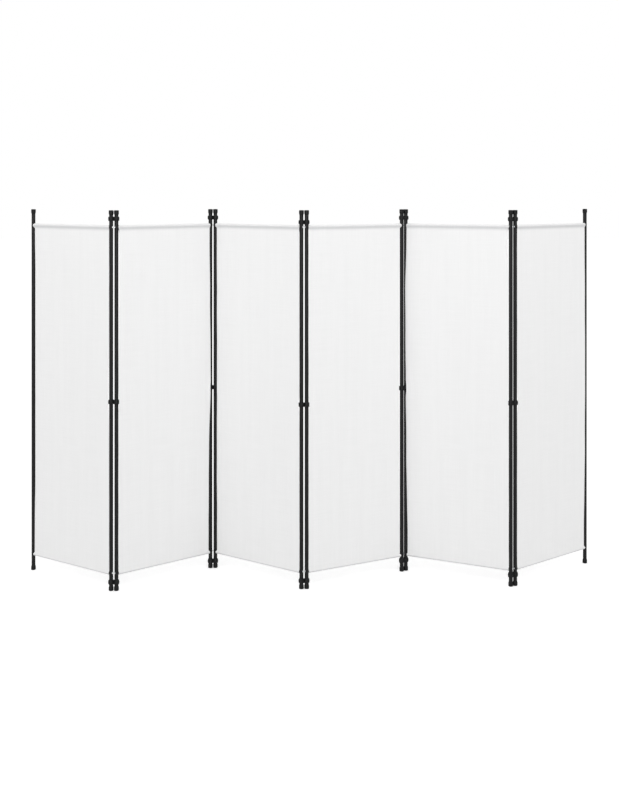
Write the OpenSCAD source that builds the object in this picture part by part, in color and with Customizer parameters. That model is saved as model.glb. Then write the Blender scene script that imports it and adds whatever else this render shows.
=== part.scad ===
// Accordion folding partition: six cloth panels between round steel poles, hinged in pairs
// by double-ring clips. Millimetres, +Z up, the front faces -Y.
// The origin is on the floor, under the centre of the zigzag's bounding box.

/* [Panels] */
// Overall height of a pole with its two end plugs
screen_h = 1800; // [1200:10:2100]
// Distance between the two pole axes of one panel
panel_pitch = 540; // [350:5:700]
// Direction of each panel in plan, left to right, in degrees
panel_yaw = [-35.5, 39.5, -36.5, 29, -26.5, 40];
// Direction of each pair of hinged poles in plan, left pole to right pole, in degrees
pair_yaw = [0, 8, 6, 32, 25];

/* [Poles] */
// Outer diameter of a pole
pole_d = 19; // [16:0.5:25]
// Wall of the pole tube
pole_wall = 0.8; // [0.6:0.1:1.5]
// Height at which the upper tube stands on the lower one
seam_z = 900; // [600:10:1100]
// Length of the drawn-in neck that plugs into the upper tube
neck_l = 45; // [20:5:80]
// Height of the taper that leads from the tube to its neck
neck_taper_h = 2; // [1:0.5:6]

/* [Rails] */
// Outer diameter of a rail
rail_d = 16; // [12:0.5:19]
// Wall of the rail tube
rail_wall = 0.8; // [0.6:0.1:1.5]
// Depth of the top rail's axis below the top of the pole
top_rail_drop = 80; // [74:1:120]
// Height of the bottom rail's axis above the floor
bottom_rail_z = 84; // [78:1:130]

/* [Rail fixings] */
// Diameter of the screw's shank
screw_d = 5; // [4:0.5:6]
// Diameter of the screw's pan head
head_d = 9; // [8:0.5:10]
// Height of the pan head
head_h = 2.2; // [1.8:0.1:2.4]
// Length of each arm's slot in the head's cross recess
recess_l = 5; // [3:0.5:6]
// Width of those slots
recess_w = 1; // [0.6:0.1:1.6]
// Depth of the cross recess
recess_depth = 1.3; // [0.6:0.1:1.5]
// Length of the nut that is pressed into a rail's end
nut_l = 18; // [12:1:30]
// How far the nut sits back from the pole
nut_inset = 0.5; // [0.2:0.1:2]
// Length of the screw inside the nut
screw_bite = 14; // [8:1:18]

/* [End plugs] */
// Height of a plug's swollen head
plug_h = 24; // [15:1:30]
// How far the head swells out past the pole
plug_flare = 2.1; // [0.5:0.1:2.5]
// Height over which it swells out to that, from the pole's end
plug_shoulder_h = 9; // [4:0.5:14]
// Rounding of the head's rim
plug_rim = 3.5; // [1:0.25:5]
// Length of the plug's spigot in the tube
spigot_l = 18; // [10:1:30]
// Wall of the moulded plug
plug_wall = 2.4; // [1.5:0.1:3]
// Thickness of the plug's closed end
plug_roof = 4; // [2:0.5:6]

/* [Hinge clips] */
// Clear gap between the two poles of a pair
pair_gap = 6; // [5:0.25:10]
// Height of a ring
ring_h = 20; // [14:1:22]
// Wall of a ring at its middle
ring_wall = 4.5; // [2.5:0.1:5]
// How much the ring's outside rounds back to its edges
ring_crown = 1.6; // [0.3:0.1:2]
// Height of the web between the two rings
web_h = 15; // [8:1:16]
// Thickness of that web
web_t = 12; // [8:0.5:14]
// Gap between each pair's top clip and the heads of the plugs above it
top_clip_gap = [6.5, 8.5, 23.5, 8.5, 9.5];
// Height of each pair's middle clip above the seam of its poles
mid_clip_rise = [-7, 6, -25, 10, -24];
// Gap between each pair's bottom clip and the heads of the plugs below it
bottom_clip_gap = [6, 0.5, 4, 19, 20];

/* [Cloth] */
// Thickness of the cloth
cloth_t = 1; // [0.5:0.1:1.5]
// Gap between a pole and the side edge of the cloth, seen from the front
cloth_gap = 3; // [1.5:0.5:10]
// How far the cloth's soft upright folds swing out of its plane
fold_depth = 2.2; // [0.5:0.1:3]
// Number of upright folds across a panel
fold_count = 5; // [2:1:9]

/* [Fits] */
// Radial clearance of a ring on its pole
ring_clear = 0.08; // [0.02:0.01:0.1]
// Radial clearance of a neck, spigot or nut in its tube
plug_clear = 0.1; // [0.05:0.01:0.2]
// Clearance of a rail's cut end on the pole
cope_clear = 0.1; // [0.05:0.01:0.3]
// Radial clearance of a screw in the nut's thread
thread_clear = 0.05; // [0.02:0.01:0.1]
// Radial clearance of a screw in the pole's drilled hole
hole_clear = 0.25; // [0.1:0.05:0.5]
// Gap between the rail and the cloth's hem round it
hem_clear = 0.4; // [0.3:0.05:1]
// Gap between the end of a hem and the pole
hem_end_gap = 0.5; // [0.3:0.1:2]

/* [Hidden] */
$fn = 64;
pole_r = pole_d / 2;
pole_bore_r = pole_r - pole_wall;
rail_r = rail_d / 2;
rail_bore_r = rail_r - rail_wall;
screw_r = screw_d / 2;
head_r = head_d / 2;
seat_lift = 0.05;               // keeps a screw head just off the pole's wall
cut_over = 1;                   // how far a cut runs past what it cuts
top_rail_z = screen_h - top_rail_drop;

neck_r = pole_bore_r - plug_clear;
plug_r = pole_r + plug_flare;
plug_steps = 8;

ring_bore_r = pole_r + ring_clear;
ring_r = ring_bore_r + ring_wall;
ring_steps = 8;
pair_pitch = pole_d + pair_gap;
top_clip_z = [for (gap = top_clip_gap) screen_h - plug_h - gap - ring_h / 2];
mid_clip_z = [for (rise = mid_clip_rise) seam_z + rise];
bottom_clip_z = [for (gap = bottom_clip_gap) plug_h + gap + ring_h / 2];

head_tip = pole_r + seat_lift + head_h;
head_dome_share = 0.45;         // share of the head's height that is domed
nut_start = pole_r + nut_inset;

hem_bore_r = rail_r + hem_clear;
hem_r = hem_bore_r + cloth_t;
hem_end = pole_r + hem_end_gap;
cloth_edge = pole_r + cloth_gap;
cloth_set = 0.2;                // how far behind its hems' fronts the sheet hangs
cloth_front = hem_r - cloth_set;
cloth_steps = 40;
fold_mix = 0.35;                // share of the second, slower fold wave
fold_phase = 67;                // turns each panel's folds out of step with the last

panels = len(panel_yaw);
pairs = len(pair_yaw);
panel_pieces = ["left_upper_pole", "left_lower_pole", "right_upper_pole", "right_lower_pole",
                "top_rail", "bottom_rail", "rail_fixings", "pole_plugs", "fabric"];

// The zigzag in plan, from the first pole at [0, 0].
function step(length, yaw) = [length * cos(yaw), length * sin(yaw)];
function left_pole(i) = i == 0 ? [0, 0] : right_pole(i - 1) + step(pair_pitch, pair_yaw[i - 1]);
function right_pole(i) = left_pole(i) + step(panel_pitch, panel_yaw[i]);

// The bounding box in plan: rings stand out at the pairs, plugs or screw heads at the two ends.
last = panels - 1;
function head_reach(yaw) = max(plug_r, head_tip * cos(yaw) + head_r * abs(sin(yaw)));
low_x = left_pole(0)[0] - head_reach(panel_yaw[0]);
high_x = right_pole(last)[0] + head_reach(panel_yaw[last]);
pair_ys = [for (i = [0:pairs - 1]) for (p = [right_pole(i), left_pole(i + 1)]) p[1]];
end_ys = [left_pole(0)[1], right_pole(last)[1]];
low_y = min(min(pair_ys) - ring_r, min(end_ys) - plug_r);
high_y = max(max(pair_ys) + ring_r, max(end_ys) + plug_r);
plan_centre = [low_x + high_x, low_y + high_y] / 2;

// Puts a panel's pieces, drawn along +X from its left pole, where the zigzag has them.
module in_panel(i) {
    translate(concat(left_pole(i) - plan_centre, 0)) rotate(panel_yaw[i]) children();
}

// The hole that a rail's screw crosses a pole by, along X.
module screw_hole(z) {
    translate([-pole_d, 0, z]) rotate([0, 90, 0])
        cylinder(r = screw_r + hole_clear, h = 2 * pole_d);
}

module upper_pole(x) {
    color([0.07, 0.07, 0.075]) translate([x, 0, 0]) difference() {
        translate([0, 0, seam_z]) cylinder(r = pole_r, h = screen_h - plug_h - seam_z);
        translate([0, 0, seam_z - cut_over]) cylinder(r = pole_bore_r, h = screen_h);
        screw_hole(top_rail_z);
    }
}

// The lower tube's top is drawn in to a neck that plugs into the upper tube.
module lower_pole(x) {
    color([0.07, 0.07, 0.075]) translate([x, 0, 0]) difference() {
        rotate_extrude() polygon([
            [pole_bore_r, plug_h],
            [pole_r, plug_h],
            [pole_r, seam_z - neck_taper_h],
            [neck_r, seam_z],
            [neck_r, seam_z + neck_l],
            [neck_r - pole_wall, seam_z + neck_l],
            [neck_r - pole_wall, seam_z],
            [pole_bore_r, seam_z - neck_taper_h],
        ]);
        screw_hole(bottom_rail_z);
    }
}

// A rail's ends are cut to the pole's round.
module rail(z) {
    color([0.07, 0.07, 0.075]) difference() {
        translate([0, 0, z]) rotate([0, 90, 0]) difference() {
            cylinder(r = rail_r, h = panel_pitch);
            translate([0, 0, -cut_over]) cylinder(r = rail_bore_r, h = panel_pitch + 2 * cut_over);
        }
        for (x = [0, panel_pitch])
            translate([x, 0, z - rail_d]) cylinder(r = pole_r + cope_clear, h = 2 * rail_d);
    }
}

// One screw and its nut, along +X: the head on the pole's outer side, the nut in the rail's end.
module fixing() {
    rotate([0, 90, 0]) {
        difference() {
            rotate_extrude() polygon([
                [0, -head_tip],
                [head_r * (1 - head_dome_share), -head_tip],
                [head_r, -head_tip + head_h * head_dome_share],
                [head_r, -head_tip + head_h],
                [screw_r, -head_tip + head_h],
                [screw_r, nut_start + screw_bite],
                [0, nut_start + screw_bite],
            ]);
            for (turn = [0, 90])
                rotate(turn) translate([-recess_l / 2, -recess_w / 2, -head_tip - cut_over])
                    cube([recess_l, recess_w, recess_depth + cut_over]);
        }
        translate([0, 0, nut_start]) difference() {
            cylinder(r = rail_bore_r - plug_clear, h = nut_l);
            translate([0, 0, -cut_over])
                cylinder(r = screw_r + thread_clear, h = nut_l + 2 * cut_over);
        }
    }
}

// Four screws and four nuts: one of each at each end of each rail.
module rail_fixings() {
    color([0.75, 0.76, 0.78]) for (z = [bottom_rail_z, top_rail_z]) {
        translate([0, 0, z]) fixing();
        translate([panel_pitch, 0, z]) rotate(180) fixing();
    }
}

// An end plug: a hollow spigot below z = 0 and the swollen head above it.
module end_plug() {
    shoulder = [for (k = [0:plug_steps]) let (t = k / plug_steps)
        [pole_r + plug_flare * (1 - cos(180 * t)) / 2, t * plug_shoulder_h]];
    rim = [for (k = [1:plug_steps]) let (a = 90 * k / plug_steps)
        [plug_r - plug_rim * (1 - cos(a)), plug_h - plug_rim * (1 - sin(a))]];
    difference() {
        rotate_extrude() polygon(concat(
            [[0, -spigot_l], [neck_r, -spigot_l], [neck_r, 0]], shoulder, rim, [[0, plug_h]]));
        translate([0, 0, -spigot_l - cut_over])
            cylinder(r = neck_r - plug_wall, h = spigot_l + cut_over + plug_h - plug_roof);
    }
}

// Two caps and two feet, which are the same plug.
module pole_plugs() {
    color([0.05, 0.05, 0.055]) for (x = [0, panel_pitch]) {
        translate([x, 0, screen_h - plug_h]) end_plug();
        translate([x, 0, plug_h]) rotate([180, 0, 0]) end_plug();
    }
}

// Distance of the cloth's middle from the rail's plane, at the share t of the panel's width.
function cloth_y(t, i) =
    let (fast = sin(360 * fold_count * t + fold_phase * i),
         slow = sin(180 * fold_count * t + 2 * fold_phase * i))
    -cloth_front + cloth_t / 2
        + fold_depth / 2 * (1 - (1 - fold_mix) * fast - fold_mix * slow) * sin(180 * t);

// One sewn sheet: it hangs in soft upright folds between a hem round each rail.
module fabric(i) {
    ts = [for (k = [0:cloth_steps]) k / cloth_steps];
    width = panel_pitch - 2 * cloth_edge;
    front = [for (t = ts) [cloth_edge + width * t, cloth_y(t, i) - cloth_t / 2]];
    back = [for (k = [cloth_steps:-1:0]) let (t = ts[k])
        [cloth_edge + width * t, cloth_y(t, i) + cloth_t / 2]];
    color([0.93, 0.93, 0.93]) difference() {
        union() {
            translate([0, 0, bottom_rail_z])
                linear_extrude(top_rail_z - bottom_rail_z) polygon(concat(front, back));
            for (z = [bottom_rail_z, top_rail_z])
                translate([hem_end, 0, z]) rotate([0, 90, 0])
                    cylinder(r = hem_r, h = panel_pitch - 2 * hem_end);
        }
        for (z = [bottom_rail_z, top_rail_z])
            translate([0, 0, z]) rotate([0, 90, 0]) cylinder(r = hem_bore_r, h = panel_pitch);
    }
}

// One moulded clip: a ring for each pole of the pair and the web between them, along +X.
module hinge_clip() {
    outside = [for (k = [0:ring_steps]) let (s = 2 * k / ring_steps - 1)
        [ring_r - ring_crown * s * s, s * ring_h / 2]];
    difference() {
        union() {
            for (x = [0, pair_pitch]) translate([x, 0, 0])
                rotate_extrude() polygon(concat([[0, -ring_h / 2]], outside, [[0, ring_h / 2]]));
            translate([0, -web_t / 2, -web_h / 2]) cube([pair_pitch, web_t, web_h]);
        }
        for (x = [0, pair_pitch]) translate([x, 0, -ring_h])
            cylinder(r = ring_bore_r, h = 2 * ring_h);
    }
}

// The three clips of one pair.
module hinge_clips(i) {
    color([0.05, 0.05, 0.055])
        translate(concat(right_pole(i) - plan_centre, 0)) rotate(pair_yaw[i])
            for (z = [bottom_clip_z[i], mid_clip_z[i], top_clip_z[i]])
                translate([0, 0, z]) hinge_clip();
}

for (i = [0:last]) in_panel(i) {
    panel = str("panel_", i + 1, "_");
    upper_pole(0);
    lower_pole(0);
    upper_pole(panel_pitch);
    lower_pole(panel_pitch);
    rail(top_rail_z);
    rail(bottom_rail_z);
    rail_fixings();
    pole_plugs();
    fabric(i);
}
for (i = [0:pairs - 1])
    hinge_clips(i);
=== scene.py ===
"""Accordion folding partition: six cloths between black poles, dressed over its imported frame."""
import math

import bmesh
import bpy
from bpy.props import FloatProperty, FloatVectorProperty, PointerProperty
from bpy.types import Operator, Panel, PropertyGroup
from mathutils import Matrix, Vector


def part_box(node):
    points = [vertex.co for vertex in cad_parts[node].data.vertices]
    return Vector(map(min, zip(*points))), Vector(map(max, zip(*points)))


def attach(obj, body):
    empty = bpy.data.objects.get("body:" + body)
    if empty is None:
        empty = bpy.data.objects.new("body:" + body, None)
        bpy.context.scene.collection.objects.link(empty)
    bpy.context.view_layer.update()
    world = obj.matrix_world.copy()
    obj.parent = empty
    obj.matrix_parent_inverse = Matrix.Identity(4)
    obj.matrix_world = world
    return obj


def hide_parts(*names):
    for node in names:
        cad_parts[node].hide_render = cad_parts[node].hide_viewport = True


bl_info = {
    "name": "Accordion folding partition",
    "version": (1, 0, 0),
    "blender": (4, 5, 0),
    "location": "View3D > Sidebar > Partition",
    "description": "Dresses a six-panel folding partition: poles, clips, cloths and stitching",
    "category": "Object",
}

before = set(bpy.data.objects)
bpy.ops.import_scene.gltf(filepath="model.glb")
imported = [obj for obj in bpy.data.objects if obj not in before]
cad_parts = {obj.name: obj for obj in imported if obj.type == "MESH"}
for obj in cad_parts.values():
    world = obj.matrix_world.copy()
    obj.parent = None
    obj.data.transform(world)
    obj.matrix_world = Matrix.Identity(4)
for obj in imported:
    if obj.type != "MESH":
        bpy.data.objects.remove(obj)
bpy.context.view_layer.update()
PANELS = range(1, 7)
PAIRS = range(1, 6)

# Millimetres from each pole's axis to the cloth's side edge, at five heights from the top down.
EDGE_HEIGHTS = (1.675, 1.405, 0.963, 0.571, 0.153)
EDGES = {
    (1, "left"): (22, 25, 25, 24.5, 19.5), (1, "right"): (4.6, 4.8, 9, 5, 4.5),
    (2, "left"): (10.2, 11, 6, 5.7, 5.5), (2, "right"): (11.8, 8.8, 4.5, 15, 18),
    (3, "left"): (17, 17.6, 18, 17, 19), (3, "right"): (7.2, 6.9, 5.2, 6.3, 5),
    (4, "left"): (4.8, 5, 5.7, 5.7, 5.8), (4, "right"): (18.5, 20, 21, 20, 18.6),
    (5, "left"): (8, 1.5, 3.5, 7, 13.9), (5, "right"): (12.2, 8.8, 9.3, 7.2, 7.2),
    (6, "left"): (4, 4, 8, 4.2, 4), (6, "right"): (14.5, 12, 9.7, 12, 20),
}
MIDDLE_CLIP_BAND = (0.5, 1.3)       # a pair's middle clip stands between these heights

# How the cloths' strips are divided.
RAIL_STEPS = 20                     # round a rail, from the back of the flap to the front
FLAP_STEPS = 6                      # from a hem's seam to the rail
ROWS_NEAR_RAIL = (0.002, 0.005, 0.009, 0.013, 0.017, 0.021, 0.025, 0.03, 0.036, 0.044, 0.054)
ROW_SPACING = 0.012                 # between rows in the middle of the sheet
SHEET_STEPS = 129                   # across the front, from one side fold to the other
SIDE_HEM_STEPS = 3                  # across a side hem
FOLD_STEPS = 4                      # round the fold of a side hem

# Small distances in the sewing, in metres.
FOLD_RADIUS = 0.0002                # of a side hem's fold, to the middle of the cloth
LAP = 0.00036                       # from the sheet to the flap sewn on it
SEAM_ALLOWANCE = 0.004              # of the flap, past its seam
FLAP_LIFT = 0.00085                 # of the flap, where a side hem lies under it
FLAP_LIFT_NEAR, FLAP_LIFT_FAR = 0.009, 0.02     # from the side edge, where that lift fades
WANDER, WANDER_RATE = 0.0004, 23    # of the side edges, and its radians a metre
POLE_CLEARANCE = 0.0004             # between the front of a pole and the sheet
EDGE_CLEARANCE = 0.0005             # between a pole or a ring and the sheet's edge
CLIP_FADE_START, CLIP_FADE_END = 0.002, 0.04    # above and below a clip, where its push fades
CLIP_LIFT = 0.0009                  # of the sheet beside a ring that doesn't reach it

# Upright ripples: widths of three waves, and each one's share of the depth.
RIPPLE_WIDTHS = (0.31, 0.127, 0.064)
RIPPLE_SHARES = (0.45, 0.38, 0.17)
RIPPLE_SWAY, SWAY_RATE = 0.05, 2.4  # of a wave sideways, and its radians a metre
PHASE_STEP = 1.7                    # from one panel's ripples to the next one's
HELD_SHARE, FREE_SHARE = 0.018, 0.2     # of the height, where a rail still holds the sheet flat
PUCKER_DEPTH, PUCKER_WIDTH = 0.00022, 0.023
PUCKER_START, PUCKER_LENGTH = 0.02, 0.05    # below a seam, where they are full and where they fade
TURN = 2 * math.pi

# Stitches: where their rows run, from the seam, the side hem's inner edge and the row's end.
SEAM_TO_STITCH, HEM_TO_STITCH, ROW_END = 0.0005, 0.002, 0.003
STITCH_SINK = 0.05                  # of the thread's width, below its half-sunk place

WEAVE_PITCH = 0.0009                # from one thread to the next but one

# Painted shade of the hems, partly a black rail showing through the cloth: its tint, and where the
# band lies below the upper rail's axis and how high it is; and the lower hem's share of it,
# painted shade of its underside, from how far below its rail's axis and up to how far behind it.
RAIL_SHOW_THROUGH_AND_SHADE = (0.71, 0.71, 0.72)
RAIL_SHADE_DROP, RAIL_SHADE_HEIGHT = 0.0055, 0.0085
LOW_HEM_SHADE, LOW_SHADE_DROP, LOW_SHADE_DEPTH = 0.55, 0.002, 0.004

SENSOR_HEIGHT = 36                  # of the camera, in millimetres
VIEW_END = 200                      # how far the camera sees, in metres

STRIP_PLACE, STRIP_SIZE = (0, -2.5, 3.2), (12.0, 1.0)
GLINT_PLACE, GLINT_SIZE = (-0.5, -8.0, 2.2), (1.0, 2.6)
LAMP_AIM = Vector((0, 0, 1))
FLOOR_SIZE = 40
FLOOR_GLOW = 0.42                   # on top of the lamps' light, for the camera and gloss alone


# ---------------------------------------------------------------- sizes and colours

class PartitionSizes(PropertyGroup):
    """Sizes of the cloths and their sewing."""
    cloth_thickness: FloatProperty(
        name="Cloth thickness", description="Thickness of the woven cloth",
        default=0.0003, unit="LENGTH")
    hem_radius: FloatProperty(
        name="Hem radius", description="From a rail's axis to the middle of the cloth round it",
        default=0.0091, unit="LENGTH")
    hem_drop: FloatProperty(
        name="Hem drop", description="From a rail's axis to the seam that closes the hem",
        default=0.021, unit="LENGTH")
    hem_edge: FloatProperty(
        name="Hem edge",
        description="From a pole's axis to the end of the upper hem in front of it",
        default=0.0062, unit="LENGTH")
    low_hem_edge: FloatProperty(
        name="Lower hem edge",
        description="From a pole's axis to the end of the lower hem in front of it",
        default=0.0085, unit="LENGTH")
    hem_end: FloatProperty(
        name="Hem end", description="From a rail's axis to where its hem's end is still widest",
        default=0.0025, unit="LENGTH")
    sheet_start: FloatProperty(
        name="Sheet start", description="From a rail's axis to where the sheet's own edge begins",
        default=0.0155, unit="LENGTH")
    low_hem_shift: FloatProperty(
        name="Lower hem shift",
        description="How much lower the lower hem's end starts than the upper one's",
        default=0.005, unit="LENGTH")
    hem_sag: FloatProperty(
        name="Hem sag", description="How far the loose lower hem hangs below its rail",
        default=0.002, unit="LENGTH")
    clip_room: FloatProperty(
        name="Clip room",
        description="Least distance from a pole's axis to the cloth's edge beside a middle clip",
        default=0.008, unit="LENGTH")
    side_hem: FloatProperty(
        name="Side hem", description="Width of the narrow hem turned back along each side",
        default=0.009, unit="LENGTH")
    ripple_depth: FloatProperty(
        name="Ripple depth", description="Depth of the soft upright ripples",
        default=0.0022, unit="LENGTH")
    billow: FloatProperty(
        name="Billow", description="How far the middle of a cloth hangs back",
        default=0.003, unit="LENGTH")
    stitch_pitch: FloatProperty(
        name="Stitch pitch", description="From one stitch to the next",
        default=0.0036, unit="LENGTH")
    stitch_length: FloatProperty(
        name="Stitch length", description="Length of one stitch",
        default=0.0027, unit="LENGTH")
    thread_width: FloatProperty(
        name="Thread width", description="Width of the sewing thread",
        default=0.0005, unit="LENGTH")


class PartitionColours(PropertyGroup):
    """Colours of the finishes."""
    powder_coat: FloatVectorProperty(
        name="Powder coat", description="Black powder coat of the poles and rails",
        default=(0.0065, 0.0065, 0.007), subtype="COLOR", size=3, min=0, max=1)
    moulded_plastic: FloatVectorProperty(
        name="Moulded plastic", description="Black plastic of the clips, caps and feet",
        default=(0.006, 0.006, 0.0065), subtype="COLOR", size=3, min=0, max=1)
    zinc: FloatVectorProperty(
        name="Zinc", description="Bright zinc plate of the screws and nuts",
        default=(0.78, 0.79, 0.8), subtype="COLOR", size=3, min=0, max=1)
    cloth: FloatVectorProperty(
        name="Cloth", description="White polyester of the panels",
        default=(0.9, 0.9, 0.9), subtype="COLOR", size=3, min=0, max=1)
    thread: FloatVectorProperty(
        name="Thread", description="White sewing thread",
        default=(0.86, 0.86, 0.86), subtype="COLOR", size=3, min=0, max=1)
    floor: FloatVectorProperty(
        name="Floor", description="Plain white floor",
        default=(0.8, 0.8, 0.8), subtype="COLOR", size=3, min=0, max=1)


class PartitionStage(PropertyGroup):
    """Camera and light."""
    camera_place: FloatVectorProperty(
        name="Camera", description="Where the camera stands",
        default=(-0.0103, -5.9, 1.897), subtype="TRANSLATION", size=3)
    lens: FloatProperty(
        name="Lens", description="Focal length of the camera in millimetres", default=54.1)
    camera_rise: FloatProperty(
        name="Camera rise", description="Upright shift of the picture", default=-0.2628)
    strip_power: FloatProperty(
        name="Top light", description="Power of the soft strip above the front",
        default=72.0, unit="POWER")
    glint_power: FloatProperty(
        name="Glint",
        description="Power of the lamp behind the camera that only glossy finishes mirror",
        default=280.0, unit="POWER")
    sky_light: FloatProperty(
        name="Sky light", description="Strength of the white light from all round", default=0.81)


# ---------------------------------------------------------------- places on the frame

def smooth(low, high, value):
    """0 below low, 1 above high, and a smooth step between them."""
    t = min(1.0, max(0.0, (value - low) / (high - low)))
    return t * t * (3 - 2 * t)


def pole_axis(panel, side):
    """The foot of a pole's axis."""
    low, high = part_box(f"panel_{panel}_{side}_upper_pole")
    return Vector(((low.x + high.x) / 2, (low.y + high.y) / 2, 0))


def pole_radius(panel):
    """Radius of a panel's poles."""
    low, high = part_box(f"panel_{panel}_left_upper_pole")
    return (high.x - low.x + high.y - low.y) / 4


def rail_height(panel, end):
    """Height of a rail's axis."""
    low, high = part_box(f"panel_{panel}_{end}_rail")
    return (low.z + high.z) / 2


def panel_place(panel):
    """From a panel's own axes (x along its rails, y to its back, z up) to the frame's.

    Returned with the pitch of the panel's two poles.
    """
    left, right = pole_axis(panel, "left"), pole_axis(panel, "right")
    along = (right - left).normalized()
    back = Vector((-along.y, along.x, 0))
    place = Matrix((along, back, Vector((0, 0, 1)))).transposed().to_4x4()
    place.translation = left
    return place, (right - left).length


def middle_clip(pair):
    """Height of the middle of a pair's middle clip, and half its height."""
    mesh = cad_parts[f"hinge_clips_{pair}"].data
    floor, ceiling = MIDDLE_CLIP_BAND
    heights = [v.co.z for v in mesh.vertices if floor < v.co.z < ceiling]
    return (min(heights) + max(heights)) / 2, (max(heights) - min(heights)) / 2


def ring_radius():
    """Outer radius of a clip's ring, from the first pair, whose poles stand side by side."""
    low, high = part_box("hinge_clips_1")
    return (high.y - low.y) / 2


# ---------------------------------------------------------------- finishes

def finish(name):
    """A new node material and its shader."""
    material = bpy.data.materials.new(name)
    material.use_nodes = True
    shader = material.node_tree.nodes["Principled BSDF"]
    return material, material.node_tree.nodes, material.node_tree.links, shader


def noise_on(nodes, links, coordinates, scale, detail=2.0, roughness=0.5, stretch=None):
    """A noise texture on these coordinates, stretched by a Mapping node if asked."""
    noise = nodes.new("ShaderNodeTexNoise")
    noise.inputs["Scale"].default_value = scale
    noise.inputs["Detail"].default_value = detail
    noise.inputs["Roughness"].default_value = roughness
    if stretch:
        mapping = nodes.new("ShaderNodeMapping")
        mapping.inputs["Scale"].default_value = stretch
        links.new(coordinates, mapping.inputs["Vector"])
        coordinates = mapping.outputs["Vector"]
    links.new(coordinates, noise.inputs["Vector"])
    return noise.outputs["Fac"]


def ranged(nodes, links, value, low, high, from_low=0.3, from_high=0.7):
    """The value brought from one range to another."""
    node = nodes.new("ShaderNodeMapRange")
    node.inputs["From Min"].default_value = from_low
    node.inputs["From Max"].default_value = from_high
    node.inputs["To Min"].default_value = low
    node.inputs["To Max"].default_value = high
    links.new(value, node.inputs["Value"])
    return node.outputs["Result"]


def tinted(nodes, links, factor, dark, light):
    """A colour between two, by a factor."""
    node = nodes.new("ShaderNodeMix")
    node.data_type = "RGBA"
    node.inputs["A"].default_value = (*dark, 1)
    node.inputs["B"].default_value = (*light, 1)
    links.new(factor, node.inputs["Factor"])
    return node.outputs["Result"]


def bumped(nodes, links, height, distance, strength, normal=None):
    """A bump of this height, on top of another one if given."""
    node = nodes.new("ShaderNodeBump")
    node.inputs["Distance"].default_value = distance
    node.inputs["Strength"].default_value = strength
    links.new(height, node.inputs["Height"])
    if normal:
        links.new(normal, node.inputs["Normal"])
    return node.outputs["Normal"]


def worked(nodes, links, operation, *values):
    """A Math node on these outputs and numbers."""
    node = nodes.new("ShaderNodeMath")
    node.operation = operation
    for socket, value in zip(node.inputs, values):
        if isinstance(value, float):
            socket.default_value = value
        else:
            links.new(value, socket)
    return node.outputs["Value"]


def seen_directly(nodes, links):
    """1 for what the camera, a gloss or a clear surface sees, 0 for what only lights things."""
    path = nodes.new("ShaderNodeLightPath")
    value = path.outputs["Is Camera Ray"]
    for name in ("Is Glossy Ray", "Is Transmission Ray"):
        value = worked(nodes, links, "MAXIMUM", value, path.outputs[name])
    return value


def scaled(colour, by):
    """A colour made darker or lighter."""
    return tuple(min(1.0, c * by) for c in colour)


def powder_coat(colour):
    """Satin black powder coat: a faint orange-peel skin with cloudy gloss."""
    material, nodes, links, shader = finish("black_powder_coat")
    place = nodes.new("ShaderNodeTexCoord").outputs["Object"]
    cloud = noise_on(nodes, links, place, 14, detail=4)
    peel = noise_on(nodes, links, place, 1100, detail=1.5)
    grain = noise_on(nodes, links, place, 4200, detail=1)
    links.new(tinted(nodes, links, cloud, scaled(colour, 0.85), scaled(colour, 1.2)),
              shader.inputs["Base Color"])
    links.new(ranged(nodes, links, cloud, 0.36, 0.47), shader.inputs["Roughness"])
    skin = bumped(nodes, links, peel, 0.00003, 0.5)
    links.new(bumped(nodes, links, grain, 0.000006, 0.4, skin), shader.inputs["Normal"])
    shader.inputs["Specular IOR Level"].default_value = 0.15
    return material


def moulded_plastic(colour):
    """Black moulded plastic with a fine spark-eroded grain."""
    material, nodes, links, shader = finish("black_moulded_plastic")
    place = nodes.new("ShaderNodeTexCoord").outputs["Object"]
    cloud = noise_on(nodes, links, place, 60, detail=3)
    grain = noise_on(nodes, links, place, 2600, detail=2)
    links.new(tinted(nodes, links, cloud, scaled(colour, 0.85), scaled(colour, 1.25)),
              shader.inputs["Base Color"])
    links.new(ranged(nodes, links, cloud, 0.46, 0.56), shader.inputs["Roughness"])
    links.new(bumped(nodes, links, grain, 0.00002, 0.5), shader.inputs["Normal"])
    shader.inputs["Specular IOR Level"].default_value = 0.14
    return material


def zinc_plate(colour):
    """Bright zinc plate, lightly clouded and drawn."""
    material, nodes, links, shader = finish("bright_zinc_plate")
    place = nodes.new("ShaderNodeTexCoord").outputs["Object"]
    cloud = noise_on(nodes, links, place, 500, detail=4)
    lines = noise_on(nodes, links, place, 900, detail=2, stretch=(1, 1, 6))
    links.new(tinted(nodes, links, cloud, scaled(colour, 0.88), scaled(colour, 1.06)),
              shader.inputs["Base Color"])
    links.new(ranged(nodes, links, cloud, 0.26, 0.4), shader.inputs["Roughness"])
    links.new(bumped(nodes, links, lines, 0.00001, 0.4), shader.inputs["Normal"])
    shader.inputs["Metallic"].default_value = 1.0
    return material


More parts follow.
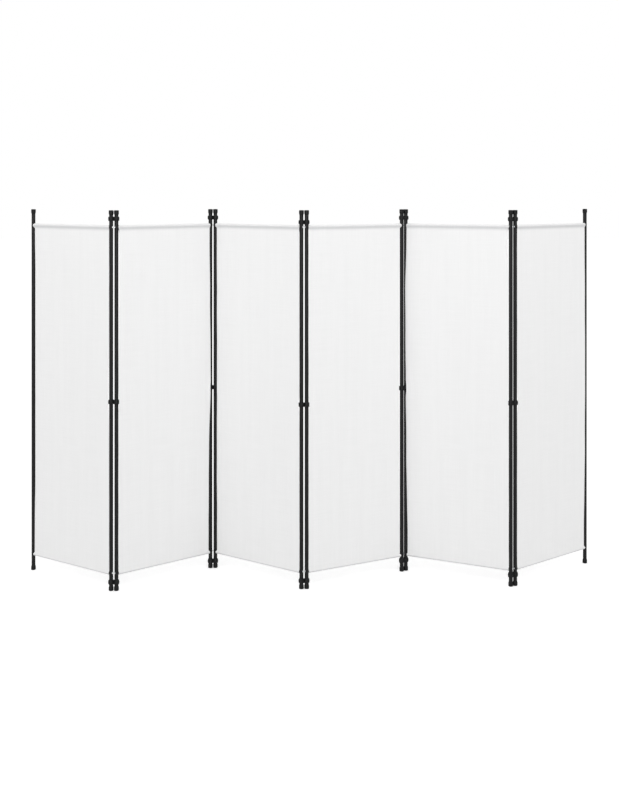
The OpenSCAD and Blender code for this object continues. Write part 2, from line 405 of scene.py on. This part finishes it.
def woven_cloth(colour):
    """Thin plain-woven white polyester; painted hem shade, partly black rails showing through."""
    material, nodes, links, shader = finish("white_woven_polyester")
    cut = nodes.new("ShaderNodeUVMap")
    cut.uv_map = "UVMap"
    cut = cut.outputs["UV"]
    slubs = noise_on(nodes, links, cut, 1, detail=4, roughness=0.6, stretch=(420, 5, 1))
    crossing = noise_on(nodes, links, cut, 1, detail=3, roughness=0.6, stretch=(6, 500, 1))
    cloud = noise_on(nodes, links, cut, 7, detail=3)
    streak = noise_on(nodes, links, cut, 1, detail=3, roughness=0.55, stretch=(34, 0.7, 1))
    split = nodes.new("ShaderNodeSeparateXYZ")
    links.new(cut, split.inputs["Vector"])
    turns = [worked(nodes, links, "MULTIPLY", split.outputs[axis], TURN / WEAVE_PITCH)
             for axis in ("X", "Y")]
    warp, weft = (worked(nodes, links, "SINE", turn) for turn in turns)
    weave = worked(nodes, links, "MULTIPLY", warp, weft)
    yarn = worked(nodes, links, "ADD", slubs, crossing)
    streaks = worked(nodes, links, "MULTIPLY_ADD", streak, 0.5, yarn)
    tone = ranged(nodes, links, streaks, 0, 1, 0.95, 1.55)
    plain = tinted(nodes, links, tone, scaled(colour, 0.965), scaled(colour, 1.02))
    shade = nodes.new("ShaderNodeMix")
    shade.data_type = "RGBA"
    shade.blend_type = "MULTIPLY"
    shade.inputs["Factor"].default_value = 1.0
    links.new(plain, shade.inputs["A"])
    # Painted shade along the hems, partly the black rail showing through the cloth.
    behind = nodes.new("ShaderNodeAttribute")
    behind.attribute_name = "rail_show_through_and_painted_shade"
    links.new(tinted(nodes, links, behind.outputs["Fac"], (1, 1, 1), RAIL_SHOW_THROUGH_AND_SHADE),
              shade.inputs["B"])
    links.new(shade.outputs["Result"], shader.inputs["Base Color"])
    links.new(ranged(nodes, links, cloud, 0.82, 0.92), shader.inputs["Roughness"])
    skin = bumped(nodes, links, weave, 0.00005, 0.35)
    links.new(bumped(nodes, links, yarn, 0.00012, 0.5, skin), shader.inputs["Normal"])
    shader.inputs["Sheen Weight"].default_value = 0.08
    shader.inputs["Specular IOR Level"].default_value = 0.25
    return material


def sewing_thread(colour):
    """White twisted polyester thread."""
    material, nodes, links, shader = finish("white_sewing_thread")
    place = nodes.new("ShaderNodeTexCoord").outputs["Object"]
    twist = noise_on(nodes, links, place, 3000, detail=2)
    links.new(tinted(nodes, links, twist, scaled(colour, 0.93), scaled(colour, 1.03)),
              shader.inputs["Base Color"])
    links.new(ranged(nodes, links, twist, 0.5, 0.65), shader.inputs["Roughness"])
    links.new(bumped(nodes, links, twist, 0.00004, 0.6), shader.inputs["Normal"])
    return material


def give_finish(nodes, material):
    """Puts a finish on CAD nodes that stay as they are."""
    for name in nodes:
        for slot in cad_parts[name].material_slots:
            slot.material = material


def add_piece(name, bm, material, body):
    """Makes a mesh built in place into a piece that rides on a body."""
    mesh = bpy.data.meshes.new(name)
    bm.to_mesh(mesh)
    bm.free()
    mesh.polygons.foreach_set("use_smooth", [True] * len(mesh.polygons))
    mesh.materials.append(material)
    piece = bpy.data.objects.new(name, mesh)
    bpy.context.scene.collection.objects.link(piece)
    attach(piece, body)
    return piece


# ---------------------------------------------------------------- cloth

class Hanging:
    """Where one panel's cloth hangs, in the panel's own axes."""

    def __init__(self, panel, sizes):
        self.panel, self.sizes = panel, sizes
        self.place, self.pitch = panel_place(panel)
        self.top, self.bottom = rail_height(panel, "top"), rail_height(panel, "bottom")
        self.pole, self.ring = pole_radius(panel), ring_radius()
        self.clips = {"left": middle_clip(panel - 1) if panel > 1 else None,
                      "right": middle_clip(panel) if panel < 6 else None}
        self.phase = PHASE_STEP * panel

    def near_clip(self, side, z):
        """1 beside this side's middle clip, falling to 0 a little above and below it."""
        if not self.clips[side]:
            return 0.0
        height, half = self.clips[side]
        return 1 - smooth(half + CLIP_FADE_START, half + CLIP_FADE_END, abs(z - height))

    def edge(self, side, y, z, front):
        """From the pole's axis to the side edge, at this depth and height."""
        s = self.sizes
        gaps = EDGES[self.panel, side]
        plain = gaps[0] if z > EDGE_HEIGHTS[0] else gaps[-1]
        for k in range(len(gaps) - 1):
            if EDGE_HEIGHTS[k] >= z > EDGE_HEIGHTS[k + 1]:
                t = smooth(EDGE_HEIGHTS[k + 1], EDGE_HEIGHTS[k], z)
                plain = gaps[k] * t + gaps[k + 1] * (1 - t)
        turned = WANDER_RATE * z + self.phase + (2 if side == "left" else 0)
        high = smooth(self.top - s.sheet_start, self.top - s.hem_end, z)
        start = self.bottom - s.low_hem_shift
        low = 1 - smooth(start + s.hem_end, start + s.sheet_start, z)
        edge = plain / 1000 + WANDER * math.sin(turned)
        edge += max(0.0, s.clip_room - edge) * self.near_clip(side, z)
        edge += (s.hem_edge - edge) * high + (s.low_hem_edge - edge) * low
        clear = self.pole + EDGE_CLEARANCE
        return edge if front else max(edge, math.sqrt(max(0.0, clear * clear - y * y)))

    def clip_bulge(self, x, z):
        """How far the edge is pushed forward by the middle clip's ring behind it."""
        push = 0.0
        reach = self.ring + EDGE_CLEARANCE
        for side, gap in (("left", x), ("right", self.pitch - x)):
            if gap > 2 * self.ring:
                continue
            need = 0.0
            if gap < reach:
                need = math.sqrt(reach * reach - gap * gap) - self.sizes.hem_radius
            need = max(need, CLIP_LIFT * (1 - smooth(0.8 * self.ring, 2 * self.ring, gap)))
            push = max(push, self.near_clip(side, z) * need)
        return push

    def depth(self, x, z):
        """Depth of the hanging sheet's middle, negative to the front."""
        s = self.sizes
        t = min(1.0, max(0.0, x / self.pitch))
        up = (z - self.bottom) / (self.top - self.bottom)
        free = (smooth(0.0, FREE_SHARE, up - HELD_SHARE)
                * smooth(0.0, FREE_SHARE, 1 - up - HELD_SHARE))
        wide = math.sin(math.pi * t) ** 0.6 if 0 < t < 1 else 0.0
        p = self.phase
        slow, fold, quick = RIPPLE_WIDTHS
        sway = RIPPLE_SWAY * math.sin(SWAY_RATE * z + p)
        waves = (math.sin(TURN * (x / slow + sway) + 1.3 * p),
                 math.sin(TURN * (x / fold + 1.4 * sway) + 2.1 * p),
                 math.sin(TURN * (x / quick + 0.3 * math.sin(3.1 * z + p)) + 0.7 * p))
        ripple = 0.5 + 0.5 * sum(share * wave for share, wave in zip(RIPPLE_SHARES, waves))
        gather = PUCKER_DEPTH * (1 + math.sin(TURN * x / PUCKER_WIDTH + 3 * math.sin(9 * x + p)))
        pucker = 0.0
        for fall in (self.top - s.hem_drop - z, z - self.bottom - s.hem_drop):
            fall = max(0.0, fall)
            pucker += gather * math.exp(-fall / PUCKER_LENGTH) * smooth(0, PUCKER_START, fall)
        depth = (-s.hem_radius + s.ripple_depth * ripple * free * wide
                 + s.billow * free * math.sin(math.pi * t)
                 * math.sin(math.pi * min(1, max(0, up)))
                 + pucker * wide - self.clip_bulge(x, z))
        clear = self.pole + POLE_CLEARANCE
        gap = min(abs(x), abs(self.pitch - x))
        return min(depth, -math.sqrt(clear * clear - gap * gap)) if gap < clear else depth

    def rows(self):
        """The strip's path from the lower end of its top flap to the end of its bottom one.

        Each row is (depth, height, inward depth, inward height, on the front, share up the flap).
        """
        s = self.sizes
        r = s.hem_radius
        seam = Vector((-r + LAP, -s.hem_drop))
        start = math.atan2(seam.y, seam.x) + math.acos(r / seam.length)   # the flap meets the rail
        touch = Vector((r * math.cos(start), r * math.sin(start)))
        away = (touch - seam).normalized()
        inward = Vector((-away.y, away.x))
        if inward.dot(-touch) < 0:
            inward = -inward
        hem = [(seam.x, seam.y - SEAM_ALLOWANCE, 1, 0, False, 0.0),
               (seam.x, seam.y, 1, 0, False, 0.0)]
        for k in range(1, FLAP_STEPS):
            p = seam.lerp(touch, k / FLAP_STEPS)
            hem.append((p.x, p.y, inward.x, inward.y, False, k / FLAP_STEPS))
        for k in range(RAIL_STEPS + 1):
            a = start + (math.pi - start) * k / RAIL_STEPS
            hem.append((r * math.cos(a), r * math.sin(a), -math.cos(a), -math.sin(a), False, 1.0))
        end = ROWS_NEAR_RAIL[-1]
        middle = self.top - self.bottom - 2 * end
        count = round(middle / ROW_SPACING)
        falls = [*ROWS_NEAR_RAIL, *(end + middle * k / count for k in range(1, count)),
                 *(self.top - self.bottom - d for d in reversed(ROWS_NEAR_RAIL))]
        rows = [(y, self.top + z, ny, nz, front, flap) for y, z, ny, nz, front, flap in hem]
        rows += [(-r, self.top - d, 1, 0, True, 1.0) for d in falls]
        rows += [(y, self.bottom - z - s.hem_sag * smooth(0, r, z), ny, -nz, front, flap)
                 for y, z, ny, nz, front, flap in reversed(hem)]
        return rows

    def columns(self):
        """The strip's columns from its left cut edge to its right one, and its whole cut width.

        Each column is (side, distance from that side's edge or share of the front, how far it lies
        behind the sheet, distance from the left cut edge).
        """
        s = self.sizes
        bend, arc = FOLD_RADIUS, FOLD_RADIUS * math.pi
        turned = [s.side_hem * (1 - k / SIDE_HEM_STEPS) for k in range(SIDE_HEM_STEPS)]
        width = self.pitch - 2 * s.hem_edge - 2 * bend
        across = [("left", d + bend, 2 * bend, s.side_hem - d) for d in turned]
        for k in range(FOLD_STEPS + 1):
            a = math.pi * k / FOLD_STEPS
            across.append(("left", bend - bend * math.sin(a), bend + bend * math.cos(a),
                           s.side_hem + bend * a))
        cut = s.side_hem + arc
        for k in range(1, SHEET_STEPS):
            across.append(("front", k / SHEET_STEPS, 0.0, cut + width * k / SHEET_STEPS))
        cut += width
        for k in range(FOLD_STEPS + 1):
            a = math.pi * (1 - k / FOLD_STEPS)
            across.append(("right", bend - bend * math.sin(a), bend + bend * math.cos(a),
                           cut + bend * (math.pi - a)))
        cut += arc
        across += [("right", d + bend, 2 * bend, cut + d) for d in reversed(turned)]
        return across, cut + s.side_hem


def hang_cloth(panel, sizes, material):
    """One panel's sheet: a hem round each rail, narrow hems down the sides, and soft ripples."""
    hang = Hanging(panel, sizes)
    rows = hang.rows()
    across, width = hang.columns()
    length, lengths = 0.0, [0.0]
    for a, b in zip(rows, rows[1:]):
        length += math.hypot(b[0] - a[0], b[1] - a[1])
        lengths.append(length)
    bm = bmesh.new()
    uv = bm.loops.layers.uv.new("UVMap")
    behind = bm.verts.layers.float.new("rail_show_through_and_painted_shade")
    bmesh.ops.create_grid(bm, x_segments=len(across) - 1, y_segments=len(rows) - 1, size=0.5)
    cut = {}
    for vert in bm.verts:
        i = round((vert.co.x + 0.5) * (len(across) - 1))
        j = round((vert.co.y + 0.5) * (len(rows) - 1))
        side, reach, offset, u = across[i]
        y, z, inward_y, inward_z, front, flap = rows[j]
        left, right = hang.edge("left", y, z, front), hang.edge("right", y, z, front)
        if side == "left":
            x = left + reach
        elif side == "right":
            x = hang.pitch - right - reach
        else:
            x = left + FOLD_RADIUS + (hang.pitch - left - right - 2 * FOLD_RADIUS) * reach
        if front:
            y = hang.depth(x, z)
        elif flap < 1:
            from_side = min(x - left, hang.pitch - right - x)
            y += FLAP_LIFT * (1 - smooth(FLAP_LIFT_NEAR, FLAP_LIFT_FAR, from_side)) * (1 - flap)
        y += inward_y * offset
        cut[vert] = (u, length - lengths[j])
        # Painted shade: the lower hem's underside and the fold below the upper rail, partly rail
        # show-through.
        if z < hang.bottom - LOW_SHADE_DROP and y < LOW_SHADE_DEPTH:
            vert[behind] = LOW_HEM_SHADE
        elif y < 0:
            above = z - hang.top + RAIL_SHADE_DROP
            vert[behind] = math.exp(-(above / RAIL_SHADE_HEIGHT) ** 2)
        z += inward_z * offset
        vert.co = hang.place @ Vector((x, y, z))
    for face in bm.faces:
        for loop in face.loops:
            loop[uv].uv = cut[loop.vert]
    centre = hang.place @ Vector((hang.pitch / 2, 0, (hang.top + hang.bottom) / 2))
    face = min(bm.faces, key=lambda f: (f.calc_center_median() - centre).length)
    if face.normal.dot(hang.place.to_3x3() @ Vector((0, -1, 0))) < 0:
        bmesh.ops.reverse_faces(bm, faces=bm.faces)
    piece = add_piece(f"panel_{panel}_cloth", bm, material, f"panel_{panel}")
    wall = piece.modifiers.new("Cloth thickness", "SOLIDIFY")
    wall.thickness = sizes.cloth_thickness
    wall.offset = 0
    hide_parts(f"panel_{panel}_fabric")
    return piece, hang, (width, length)


def stitch_row(sizes, count):
    """A straight row of stitches along +X from the origin, doubled up from one."""
    bm = bmesh.new()
    thick = sizes.thread_width / 2
    size = Matrix.Diagonal((sizes.stitch_length / 2, thick, thick, 1))
    bmesh.ops.create_uvsphere(bm, u_segments=6, v_segments=4, radius=1,
                              matrix=size @ Matrix.Rotation(math.pi / 2, 4, "Y"))
    made = 1
    while made < count:
        copy = bmesh.ops.duplicate(bm, geom=bm.verts[:] + bm.edges[:] + bm.faces[:])
        verts = [part for part in copy["geom"] if isinstance(part, bmesh.types.BMVert)]
        bmesh.ops.translate(bm, verts=verts, vec=(made * sizes.stitch_pitch, 0, 0))
        made *= 2
    spare = [v for v in bm.verts if v.co.x > (count - 0.5) * sizes.stitch_pitch]
    bmesh.ops.delete(bm, geom=spare, context="VERTS")
    return bm


def sew(hang, sizes, material):
    """Lock stitches along a cloth's four hems, half sunk in its front."""
    half = sizes.cloth_thickness / 2
    whole = bmesh.new()
    rows = []
    drop = sizes.hem_drop - SEAM_TO_STITCH
    for z in (hang.top - drop, hang.bottom + drop):
        low = hang.edge("left", -sizes.hem_radius, z, True) + ROW_END
        high = hang.pitch - hang.edge("right", -sizes.hem_radius, z, True) - ROW_END
        rows.append(("across", low, high, z))
    low = hang.bottom + sizes.hem_drop + ROW_END
    high = hang.top - sizes.hem_drop - ROW_END
    rows += [("left", low, high, 0), ("right", low, high, 0)]
    inset = sizes.side_hem - HEM_TO_STITCH
    for kind, low, high, z in rows:
        bm = stitch_row(sizes, int((high - low) / sizes.stitch_pitch))
        for vert in bm.verts:
            along, across, up = low + sizes.stitch_pitch / 2 + vert.co.x, vert.co.y, vert.co.z
            if kind == "across":
                x, y, h = along, across, z + up
            else:
                x = hang.edge(kind, -sizes.hem_radius, along, True) + inset
                x, y, h = (x if kind == "left" else hang.pitch - x) + up, across, along
            y += hang.depth(x, h) - half - STITCH_SINK * sizes.thread_width
            vert.co = hang.place @ Vector((x, y, h))
        row = bpy.data.meshes.new("row")
        bm.to_mesh(row)
        bm.free()
        whole.from_mesh(row)
        bpy.data.meshes.remove(row)
    return add_piece(f"panel_{hang.panel}_stitches", whole, material,
                     f"panel_{hang.panel}")


# ---------------------------------------------------------------- operators

class PARTITION_OT_coat_steel(Operator):
    """Gives the poles and rails their black powder coat"""
    bl_idname = "partition.coat_steel"
    bl_label = "Coat poles and rails"

    def execute(self, context):
        coat = powder_coat(context.scene.partition_colours.powder_coat)
        tubes = ("left_upper_pole", "left_lower_pole", "right_upper_pole", "right_lower_pole",
                 "top_rail", "bottom_rail")
        give_finish([f"panel_{n}_{tube}" for n in PANELS for tube in tubes], coat)
        return {"FINISHED"}


class PARTITION_OT_finish_plastic(Operator):
    """Gives the clips, caps and feet their moulded plastic"""
    bl_idname = "partition.finish_plastic"
    bl_label = "Finish clips, caps and feet"

    def execute(self, context):
        plastic = moulded_plastic(context.scene.partition_colours.moulded_plastic)
        give_finish([f"panel_{n}_pole_plugs" for n in PANELS], plastic)
        give_finish([f"hinge_clips_{n}" for n in PAIRS], plastic)
        return {"FINISHED"}


class PARTITION_OT_plate_fixings(Operator):
    """Gives the rails' screws and nuts their zinc plate"""
    bl_idname = "partition.plate_fixings"
    bl_label = "Plate screws and nuts"

    def execute(self, context):
        give_finish([f"panel_{n}_rail_fixings" for n in PANELS],
                    zinc_plate(context.scene.partition_colours.zinc))
        return {"FINISHED"}


class PARTITION_OT_hang_cloths(Operator):
    """Hangs the six cloths on their rails and sews their hems"""
    bl_idname = "partition.hang_cloths"
    bl_label = "Hang and sew cloths"

    def execute(self, context):
        sizes, colours = context.scene.partition_sizes, context.scene.partition_colours
        cloth, thread = woven_cloth(colours.cloth), sewing_thread(colours.thread)
        for panel in PANELS:
            piece, hang, flat = hang_cloth(panel, sizes, cloth)
            stitches = sew(hang, sizes, thread)
        return {"FINISHED"}


class PARTITION_OT_set_stage(Operator):
    """Sets the white floor, the soft light and the camera"""
    bl_idname = "partition.set_stage"
    bl_label = "Set stage"

    def execute(self, context):
        scene = context.scene
        stage, colours = scene.partition_stage, scene.partition_colours
        lens = bpy.data.cameras.new("camera")
        lens.sensor_fit = "VERTICAL"
        lens.sensor_height = SENSOR_HEIGHT
        lens.lens = stage.lens
        lens.shift_y = stage.camera_rise
        lens.clip_end = VIEW_END
        camera = bpy.data.objects.new("camera", lens)
        camera.location = stage.camera_place
        camera.rotation_euler = (math.pi / 2, 0, 0)
        scene.collection.objects.link(camera)
        scene.camera = camera

        for name, place, size, power, gloss_only in (
                ("top_strip", STRIP_PLACE, STRIP_SIZE, stage.strip_power, False),
                ("pole_glint", GLINT_PLACE, GLINT_SIZE, stage.glint_power, True)):
            lamp = bpy.data.lights.new(name, "AREA")
            lamp.shape = "RECTANGLE"
            lamp.size, lamp.size_y = size
            lamp.energy = power
            light = bpy.data.objects.new(name, lamp)
            light.location = place
            aim = LAMP_AIM - light.location
            light.rotation_euler = aim.to_track_quat("-Z", "Y").to_euler()
            light.visible_diffuse = not gloss_only
            scene.collection.objects.link(light)

        world = bpy.data.worlds.new("studio")
        world.use_nodes = True
        scene.world = world
        nodes, links = world.node_tree.nodes, world.node_tree.links
        sky = nodes["Background"]
        sky.inputs["Color"].default_value = (1, 1, 1, 1)
        seen = seen_directly(nodes, links)
        links.new(ranged(nodes, links, seen, stage.sky_light, 1, from_low=0, from_high=1),
                  sky.inputs["Strength"])

        bm = bmesh.new()
        bmesh.ops.create_grid(bm, x_segments=4, y_segments=4, size=FLOOR_SIZE)
        mesh = bpy.data.meshes.new("floor")
        bm.to_mesh(mesh)
        bm.free()
        floor = bpy.data.objects.new("floor", mesh)
        scene.collection.objects.link(floor)
        material, nodes, links, shader = finish("white_floor")
        shader.inputs["Base Color"].default_value = (*colours.floor, 1)
        shader.inputs["Roughness"].default_value = 0.9
        shader.inputs["Specular IOR Level"].default_value = 0.1
        shader.inputs["Emission Color"].default_value = (1, 1, 1, 1)
        seen = seen_directly(nodes, links)
        links.new(ranged(nodes, links, seen, 0, FLOOR_GLOW, from_low=0, from_high=1),
                  shader.inputs["Emission Strength"])
        mesh.materials.append(material)
        scene.view_settings.view_transform = "Standard"
        return {"FINISHED"}


class PARTITION_PT_panel(Panel):
    """Lists the partition's sizes, colours, stage settings and steps"""
    bl_idname = "PARTITION_PT_panel"
    bl_label = "Folding partition"
    bl_space_type = "VIEW_3D"
    bl_region_type = "UI"
    bl_category = "Partition"

    def draw(self, context):
        layout, scene = self.layout, context.scene
        for group in (scene.partition_sizes, scene.partition_colours, scene.partition_stage):
            box = layout.box()
            for name in group.__annotations__:
                box.prop(group, name)
        for operator in STEPS:
            layout.operator(operator.bl_idname)


STEPS = (PARTITION_OT_set_stage, PARTITION_OT_coat_steel, PARTITION_OT_finish_plastic,
         PARTITION_OT_plate_fixings, PARTITION_OT_hang_cloths)
GROUPS = {"partition_sizes": PartitionSizes, "partition_colours": PartitionColours,
          "partition_stage": PartitionStage}


def register():
    for item in (*GROUPS.values(), *STEPS, PARTITION_PT_panel):
        bpy.utils.register_class(item)
    for name, group in GROUPS.items():
        setattr(bpy.types.Scene, name, PointerProperty(type=group))


def unregister():
    for name in GROUPS:
        delattr(bpy.types.Scene, name)
    for item in reversed((*GROUPS.values(), *STEPS, PARTITION_PT_panel)):
        bpy.utils.unregister_class(item)


def main():
    register()
    bpy.ops.partition.set_stage()
    bpy.ops.partition.coat_steel()
    bpy.ops.partition.finish_plastic()
    bpy.ops.partition.plate_fixings()
    bpy.ops.partition.hang_cloths()


if __name__ == "__main__":
    main()
